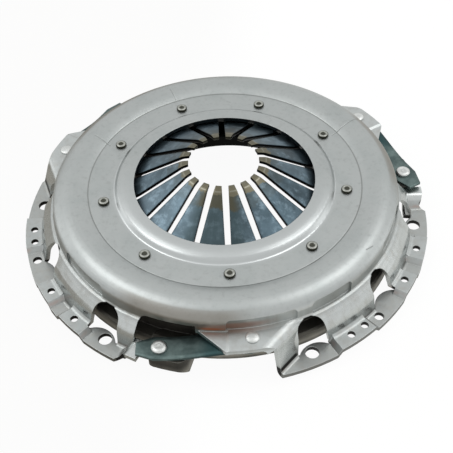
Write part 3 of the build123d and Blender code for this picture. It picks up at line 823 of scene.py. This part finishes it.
def strapRows(length):
    # distances from the cover's rivet along the strap, closer together at its ends
    s = strap
    first, last = -s["coverEnd"], length + s["lugEnd"]
    return np.concatenate([[first, first + s["edge"]], np.linspace(first + 1, first + s["taper"], 5),
                           np.linspace(first + s["taper"] + 2, last - s["taper"] - 2, 36),
                           np.linspace(last - s["taper"], last - 1, 5), [last - s["edge"], last]])


def strapSheets(side, number):
    # a long hexagon: rows along the strap, columns across it; the height falls by a smooth step
    # from the cover to the lug, so it lies flat when the plate is lifted all the way
    s = strap
    start, end = strapEnds(side)
    length = np.linalg.norm(end - start)
    ahead = (end - start) / length
    left = np.array([-ahead[1], ahead[0]])
    rows = strapRows(length)[:, None]
    inside = np.minimum(rows - rows[0], rows[-1] - rows)
    half = s["narrow"] + (s["wide"] - s["narrow"]) * np.clip(inside / s["taper"], 0, 1)
    across = np.hstack([-half, (half - s["edge"]) * np.linspace(-1, 1, 7), half])
    drop = edgeDrop(np.minimum(half - np.abs(across), inside), s["edge"])
    t = np.clip((rows - s["flat"]) / (length - 2 * s["flat"]), 0, 1)
    top = s["top"] - number * s["pitch"] - s["drop"] * t * t * (3 - 2 * t)
    flat = start + rows[..., None] * ahead + across[..., None] * left
    upper = np.concatenate([flat, (top - drop)[..., None]], -1)
    lower = np.concatenate([flat, (top - s["sheet"] + drop)[..., None]], -1)
    sheets = [upper, lower]
    sheets += [np.stack([upper[:, c], lower[:, c]], 1) for c in (0, -1)]
    sheets += [np.stack([upper[r], lower[r]], 1) for r in (0, -1)]
    return sheets


def strapPiece(side, number, finish):
    name = f"strap_{sides[side]}_leaf_{number + 1}"
    made = joined("drive_" + name, strapSheets(side, number), finish)
    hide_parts(name)
    start, end = strapEnds(side)
    ahead = (end - start) / np.linalg.norm(end - start)
    ends = [start + ahead * strap["flat"], end - ahead * strap["flat"]]
    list(ends[0] * mm)
    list(ends[1] * mm)
    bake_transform(made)


strapFinish = {
    "light": srgb(104, 119, 117),
    "dark": srgb(73, 87, 86),
    "paleEdges": srgb(150, 160, 158),
    "webShadow": srgb(38, 62, 64),            # painted shadow where the cover's web overhangs the strap
    "webShadowAt": -86,                       # azimuth
    "webShadowReach": 10.0,
    "cloud": (90.0, 4.0),
    "fine": (1100.0, 2.0),
    "roughness": 0.4,
}


def strapMaterial():
    f = strapFinish
    made, shader, start = newMaterial("phosphated_strap", Metallic=1.0)
    point, azimuth = places(start, "azimuth")
    cloud, fine = [noise(point, *f[name]) for name in ("cloud", "fine")]
    colour = cloud.rise(0.35, 0.7).tint(f["dark"], f["light"])
    webShadow = azimuth.near(f["webShadowAt"], third).hump(0.0, f["webShadowReach"]).rise(0.1, 0.9)
    colour = (webShadow * 0.85).tint(colour, f["webShadow"])
    colour = (edgeMask(start, 0.25 * mm) * 0.5).tint(colour, f["paleEdges"])
    feed(shader, start, Base_Color=colour, Roughness=f["roughness"] + cloud * 0.12,
         Normal=bump(start, fine + cloud, 0.01 * mm, 0.12 * mm))
    return made


strapRivets = {
    "cover": {"head": 5.2, "seat": 29.8, "rise": 2.0, "footSeat": 23.7, "place": "coverRivet",
              "crown": ((0.0, 0.0), (2.4, 0.08), (4.2, 0.45))},         # (radius, fall below the top)
    "lug": {"head": 5.8, "seat": 18.5, "rise": 2.8, "footSeat": 7.25, "place": "lugRivet",
            "crown": ((0.0, 0.16), (1.4, 0.14), (2.2, 0.04), (3.5, 0.0), (4.9, 0.35))},
    "shank": 4.0,
    "shoulder": 1.15,              # the side of each head starts this far below its top
    "footHeight": 2.5,
    "footCut": 0.8,
}


def strapRivetPiece(kind, side, finish):
    # crown of the head, side, shank and flat foot, turned round the rivet's axis
    r = strapRivets[kind]
    head, seat, top = r["head"], r["seat"], r["seat"] + r["rise"]
    shank, footSeat = strapRivets["shank"], r["footSeat"]
    foot = footSeat - strapRivets["footHeight"]
    crown = [(radius, top - fall) for radius, fall in r["crown"]]
    footCut = strapRivets["footCut"]
    line = crown + [(head, top - strapRivets["shoulder"]), (head, seat), (shank, seat),
                    (shank, footSeat), (head, footSeat), (head, foot + footCut),
                    (head - footCut, foot), (0, foot)]
    cuts = [0.5] * (len(crown) - 1) + [0.35, 0.12, 0.1, 0.1, 0.15, 0.2, 0.2]
    radius, azimuth = strap[r["place"]]
    centre = spot(radius, azimuth + third * side)
    body = "cover" if kind == "cover" else "pressure_plate"
    made = joined(f"{kind}_rivet_{sides[side]}", [turned(softened(line, cuts), centre)], finish, body)
    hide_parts(f"{kind}_strap_rivet_{sides[side]}")


phosphate = strapMaterial()
bright = metal("bright_rivet", srgb(214, 216, 214), srgb(190, 193, 191), 0.36, 260.0, 0.02 * mm, 0.3 * mm)
for side in range(thirds):
    for number in range(strap["leaves"]):
        strapPiece(side, number, phosphate)
    for kind in ("cover", "lug"):
        strapRivetPiece(kind, side, bright)
print("straps and strap rivets made")


# camera and studio

camera = {
    "place": (73.1 * mm, -543.6 * mm, 580.6 * mm),
    "azimuth": 97.66,                    # looks this way along the ground
    "down": 47.13,
    "roll": 2.55,                        # the part leans this much anticlockwise
    "lens": 76.0,
    "sensor": 36.0,
}


def addCamera():
    # right, up and forward from azimuth, dip and roll, written as the columns of the matrix
    turn, dip, roll = [math.radians(camera[k]) for k in ("azimuth", "down", "roll")]
    forward = np.array([math.cos(turn) * math.cos(dip), math.sin(turn) * math.cos(dip), -math.sin(dip)])
    level = np.array([math.sin(turn), -math.cos(turn), 0.0])
    upright = np.cross(level, forward)
    right = level * math.cos(roll) - upright * math.sin(roll)
    up = level * math.sin(roll) + upright * math.cos(roll)
    data = bpy.data.cameras.new("camera")
    data.lens = camera["lens"]
    data.sensor_width = camera["sensor"]
    made = bpy.data.objects.new("camera", data)
    bpy.context.scene.collection.objects.link(made)
    columns = np.column_stack([right, up, -forward, np.array(camera["place"])])
    made.matrix_world = Matrix(np.vstack([columns, [0, 0, 0, 1]]).tolist())
    bpy.context.scene.camera = made


studio = {
    "floorDrop": 0.4 * mm,               # how far it lies below the part
    "floorReach": 6.0,
    "floorTone": srgb(238, 238, 235),
    "leftTone": srgb(172, 168, 160),     # dimmer and warmer on the left
    "leftFrom": 0.03,                    # the tones blend over this stretch of x
    "leftTo": -0.07,
    "sky": 0.95,                         # what lights the metal from above the horizon
    "whiteness": 0.95,                   # share of plain white in the floor that the camera sees
    "mirrored": 0.75,                    # share of the floor's own tone, unshaded, that metal sees
    "lamps": [                           # direction, distance, size and radiance of each softbox
        ((-0.52, 0.05, 0.85), 1.3, 0.62, 2.4),
        ((0.47, 0.18, 0.86), 1.3, 0.62, 2.2),
        ((-0.90, 0.20, 0.30), 1.5, 0.6, 0.8),
        ((0.90, 0.20, 0.30), 1.5, 0.6, 0.9),
    ],
}


def addLamps():
    # each softbox faces the part; its power follows from radiance times pi times area
    for k, (direction, distance, size, radiance) in enumerate(studio["lamps"]):
        data = bpy.data.lights.new(f"softbox_{k}", "AREA")
        data.size = size
        data.energy = radiance * math.pi * size ** 2
        made = bpy.data.objects.new(f"softbox_{k}", data)
        bpy.context.scene.collection.objects.link(made)
        back = np.array(direction) / np.linalg.norm(direction)
        side = np.cross([0, 0, 1.0], back)
        side /= np.linalg.norm(side)
        columns = np.column_stack([side, np.cross(back, side), back, back * distance])
        made.matrix_world = Matrix(np.vstack([columns, [0, 0, 0, 1]]).tolist())


def seenBy(start):
    # 1 for the camera and for what shows in metal or glass; then 1 for the camera alone
    direct, glossy, through = [start.node("LightPath", output=f"Is {kind} Ray")
                               for kind in ("Camera", "Glossy", "Transmission")]
    return direct.both(glossy).both(through), direct


def addWorld():
    # white where it is seen, a little less where it only lights
    world = bpy.data.worlds.new("studio")
    world.use_nodes = True
    bpy.context.scene.world = world
    start = Signal(world.node_tree)
    level = seenBy(start)[0] * (1 - studio["sky"]) + studio["sky"]
    background = world.node_tree.nodes["Background"]
    start.tree.links.new(level.socket, background.inputs["Strength"])
    background.inputs["Color"].default_value = (1, 1, 1, 1)


def addFloor():
    # pale floor that the camera sees nearly white, with some of the part's shadow left
    height = cadBox[0][2] - studio["floorDrop"]
    reach = studio["floorReach"]
    mesh = bpy.data.meshes.new("floor")
    mesh.from_pydata([(-reach, -reach, height), (reach, -reach, height), (reach, reach, height),
                      (-reach, reach, height)], [], [(0, 1, 2, 3)])
    floor = bpy.data.objects.new("floor", mesh)
    bpy.context.scene.collection.objects.link(floor)
    made, shader, start = newMaterial("floor_pale", Roughness=0.9)
    x = places(start, "x")[1]
    tone = x.rise(studio["leftTo"], studio["leftFrom"]).tint(studio["leftTone"], studio["floorTone"])
    feed(shader, start, Base_Color=tone)
    seen, direct = seenBy(start)
    glow = start.node("Emission", None, {"Color": direct.tint(tone, (1, 1, 1, 1)), "Strength": 1.0})
    shown = direct * studio["whiteness"] + (seen - direct) * studio["mirrored"]
    plain = Signal(start.tree, shader.outputs[0])
    mixed = start.node("MixShader", None, {0: shown, 1: plain, 2: glow})
    below = start.node("NewGeometry", output="Backfacing") * direct     # the camera looks up through it
    mixed = start.node("MixShader", None, {0: below, 1: mixed, 2: start.node("BsdfTransparent")})
    start.tree.links.new(mixed.socket, made.node_tree.nodes["Material Output"].inputs["Surface"])
    floor.data.materials.append(made)


addCamera()
addLamps()
addWorld()
addFloor()
bpy.context.scene.view_settings.view_transform = "Standard"
print("camera and studio made")
